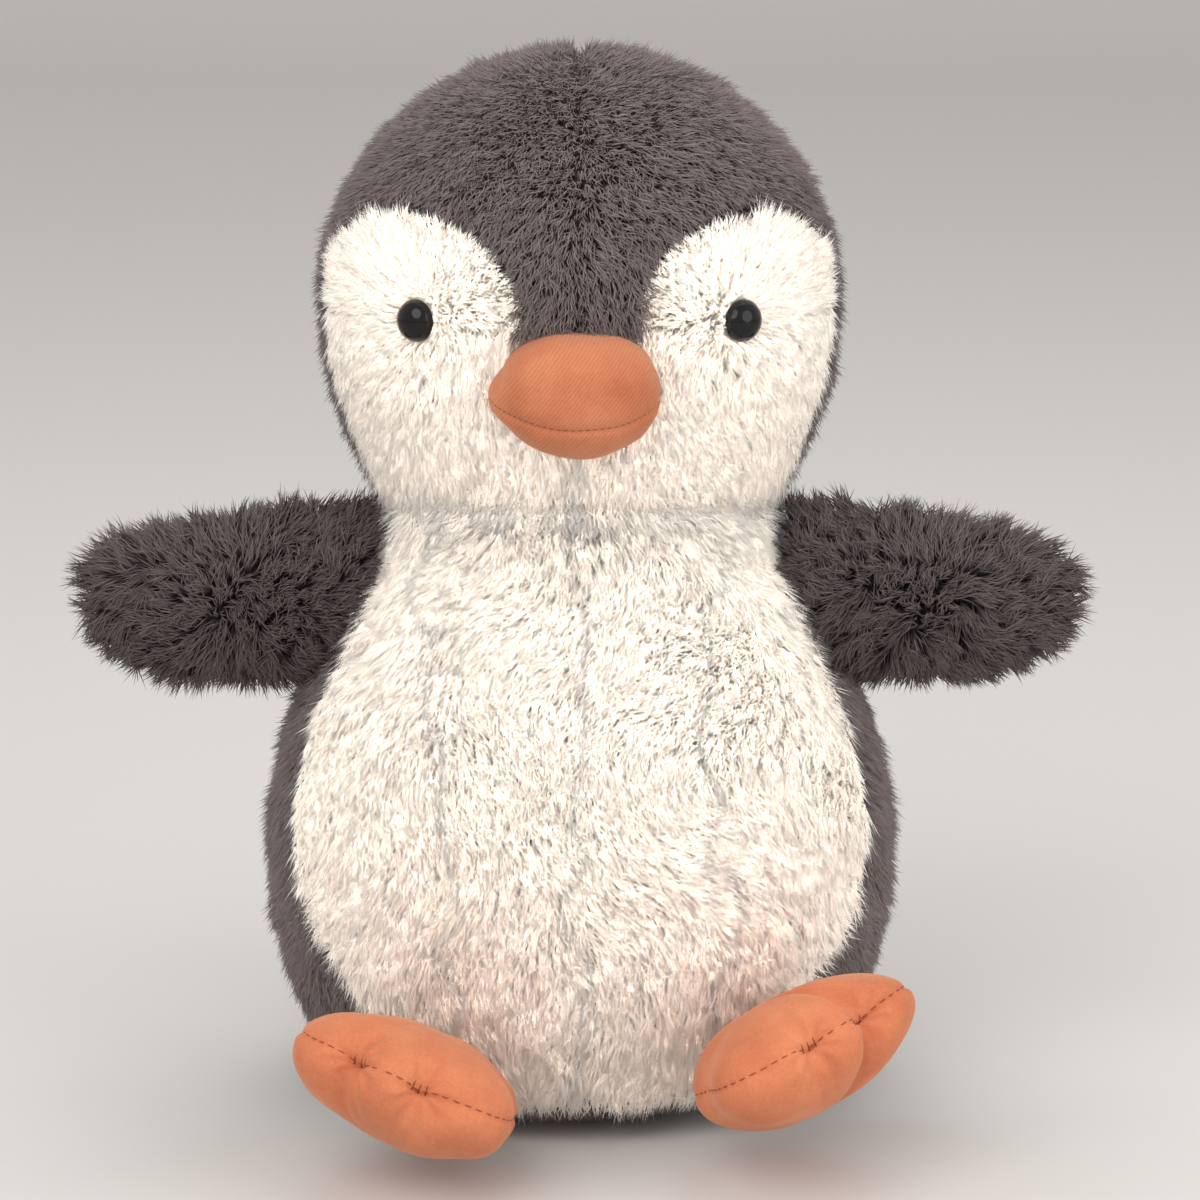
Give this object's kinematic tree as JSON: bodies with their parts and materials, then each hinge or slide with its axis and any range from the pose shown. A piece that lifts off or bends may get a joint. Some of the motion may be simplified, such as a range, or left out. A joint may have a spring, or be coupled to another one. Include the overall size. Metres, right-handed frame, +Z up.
{
  "type": "plush penguin",
  "caption": "Sitting plush penguin with a round head, white cheeks and belly, stuffed wings, orange beak and padded three-toed feet; head, wings and feet bend at their seams.",
  "frame": {"origin": "on the floor under the middle of the toy's outer box", "axes": "+Z up, the toy faces -Y, +X is the toy's own left"},
  "size_m": [0.2176, 0.1585, 0.2305],
  "materials": {
    "dark_plush": "charcoal long-pile plush",
    "white_plush": "cream-white long-pile plush",
    "orange_suede": "orange brushed suede cloth",
    "orange_thread": "twisted sewing thread",
    "eye_gloss": "polished black plastic",
    "washer_plastic": "moulded white plastic",
    "fibre_fill": "loose polyester fibre",
    "pouch_cotton": "woven cotton",
    "pellet_plastic": "small translucent granules",
    "label_satin": "woven satin, blank"
  },
  "bodies": {
    "torso": {"base_panel": "dark_plush", "belly_panel": "white_plush", "back_left": "dark_plush", "back_right": "dark_plush", "body_filling": "fibre_fill", "pellet_pouch": "pouch_cotton", "pellets": "pellet_plastic", "care_label": "label_satin"},
    "neck": {"neck_filling": "fibre_fill"},
    "head": {"face_left": "white_plush", "face_right": "white_plush", "crown_left": "dark_plush", "crown_right": "dark_plush", "head_back_left": "dark_plush", "head_back_right": "dark_plush", "head_filling": "fibre_fill", "beak_upper": "orange_suede", "beak_lower": "orange_suede", "beak_filling": "fibre_fill", "eye_left": "eye_gloss", "eye_right": "eye_gloss", "eye_washer_left": "washer_plastic", "eye_washer_right": "washer_plastic"},
    "wing_left_root": {"wing_left_root_seam": "dark_plush"},
    "wing_left": {"wing_left_front": "dark_plush", "wing_left_back": "dark_plush", "wing_left_filling": "fibre_fill"},
    "wing_right_root": {"wing_right_root_seam": "dark_plush"},
    "wing_right": {"wing_right_front": "dark_plush", "wing_right_back": "dark_plush", "wing_right_filling": "fibre_fill"},
    "foot_left": {"foot_left_upper": "orange_suede", "foot_left_sole": "orange_suede", "foot_left_filling": "fibre_fill", "foot_left_toe_stitches": "orange_thread"},
    "foot_right": {"foot_right_upper": "orange_suede", "foot_right_sole": "orange_suede", "foot_right_filling": "fibre_fill", "foot_right_toe_stitches": "orange_thread"}
  },
  "joints": [
    {"name": "head_nod", "type": "hinge", "parent": "torso", "child": "neck", "pos_m": [0, 0.0189, 0.121], "axis": [1, 0, 0], "range_deg": [-12, 12], "stiffness_Nm_per_rad": 0.6},
    {"name": "head_turn", "type": "hinge", "parent": "neck", "child": "head", "pos_m": [0, 0.0189, 0.121], "axis": [0, 0, 1], "range_deg": [-25, 25], "stiffness_Nm_per_rad": 0.3},
    {"name": "wing_left_swing", "type": "hinge", "parent": "torso", "child": "wing_left_root", "pos_m": [0.0683, 0.0109, 0.1135], "axis": [0, 0, -1], "range_deg": [-30, 40], "stiffness_Nm_per_rad": 0.05},
    {"name": "wing_left_lift", "type": "hinge", "parent": "wing_left_root", "child": "wing_left", "pos_m": [0.0683, 0.0109, 0.1135], "axis": [0, -1, 0], "range_deg": [-30, 20], "stiffness_Nm_per_rad": 0.08},
    {"name": "wing_right_swing", "type": "hinge", "parent": "torso", "child": "wing_right_root", "pos_m": [-0.0683, 0.0109, 0.1135], "axis": [0, 0, 1], "range_deg": [-30, 40], "stiffness_Nm_per_rad": 0.05},
    {"name": "wing_right_lift", "type": "hinge", "parent": "wing_right_root", "child": "wing_right", "pos_m": [-0.0683, 0.0109, 0.1135], "axis": [0, 1, 0], "range_deg": [-30, 20], "stiffness_Nm_per_rad": 0.08},
    {"name": "foot_left_tilt", "type": "hinge", "parent": "torso", "child": "foot_left", "pos_m": [0.0363, -0.0339, 0.0185], "axis": [-0.8829, -0.4695, 0], "range_deg": [-22, 8], "stiffness_Nm_per_rad": 0.08},
    {"name": "foot_right_tilt", "type": "hinge", "parent": "torso", "child": "foot_right", "pos_m": [-0.0288, -0.0366, 0.015], "axis": [-0.9613, 0.2756, 0], "range_deg": [-22, 8], "stiffness_Nm_per_rad": 0.08}
  ]
}
